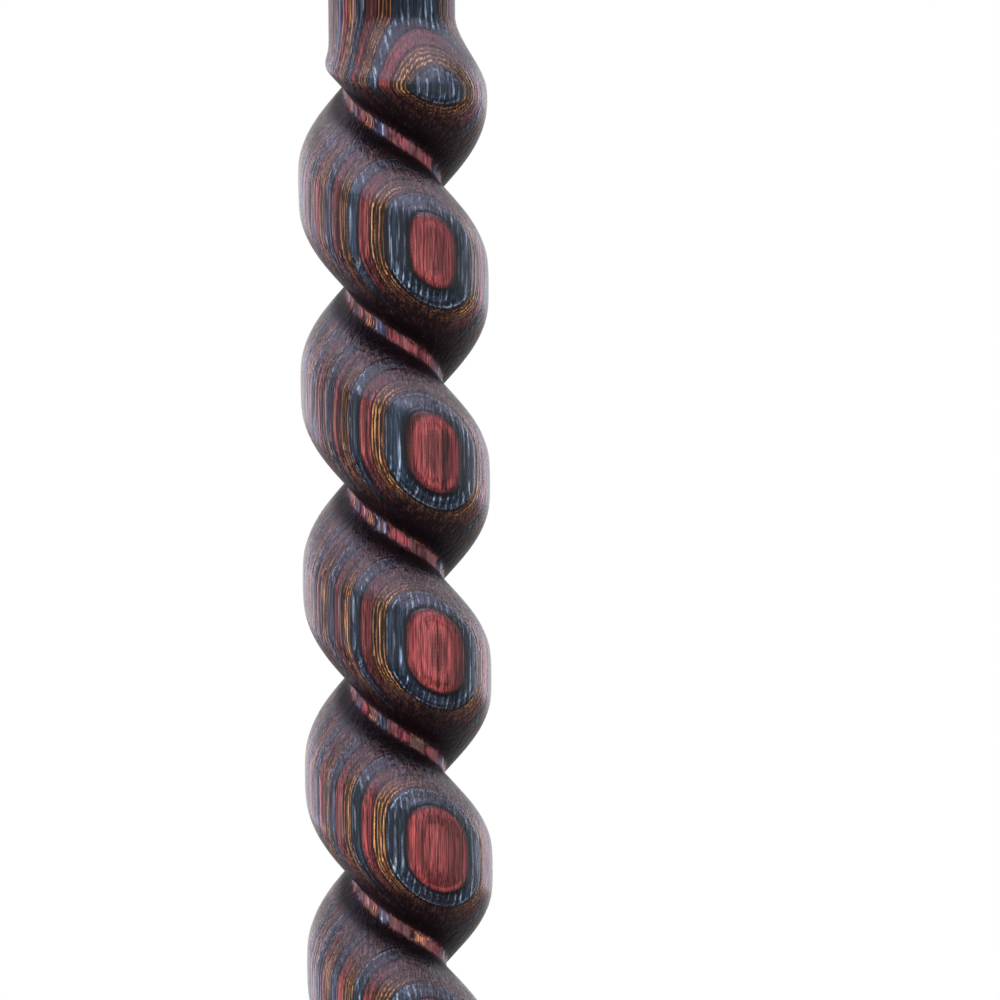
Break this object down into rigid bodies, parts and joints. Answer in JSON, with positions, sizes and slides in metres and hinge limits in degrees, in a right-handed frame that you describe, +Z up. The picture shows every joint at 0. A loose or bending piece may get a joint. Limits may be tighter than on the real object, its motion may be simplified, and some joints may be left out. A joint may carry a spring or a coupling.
{
  "type": "twisted walking cane",
  "caption": "Laminated wood walking cane with a left-handed carved twist, a curved palm handle on a metal collar, and a fluted rubber ferrule.",
  "frame": {"origin": "middle of the ferrule's flat base, on the shaft's axis, where the cane stands on the floor", "axes": "+Z up along the shaft, +X towards the handle's nose and square to the shaft's veneers, +Y to the handle's left side"},
  "size_m": [0.1328, 0.038, 0.9398],
  "materials": {
    "shaft_wood": "clear lacquer over red, navy and gold veneers",
    "handle_wood": "clear lacquer over red, navy and gold veneers",
    "collar_brass": "polished",
    "stud_steel": "zinc plated",
    "ferrule_rubber": "moulded, soft semi-gloss",
    "washer_steel": "zinc plated"
  },
  "bodies": {
    "cane": {"shaft": "shaft_wood", "handle": "handle_wood", "collar": "collar_brass", "handle_stud": "stud_steel"},
    "foot": {"ferrule": "ferrule_rubber", "tip_washer": "washer_steel"}
  },
  "joints": [
    {"name": "ferrule_pull", "type": "slide", "parent": "cane", "child": "foot", "axis": [0, 0, -1], "range_m": [0, 0.025]}
  ]
}
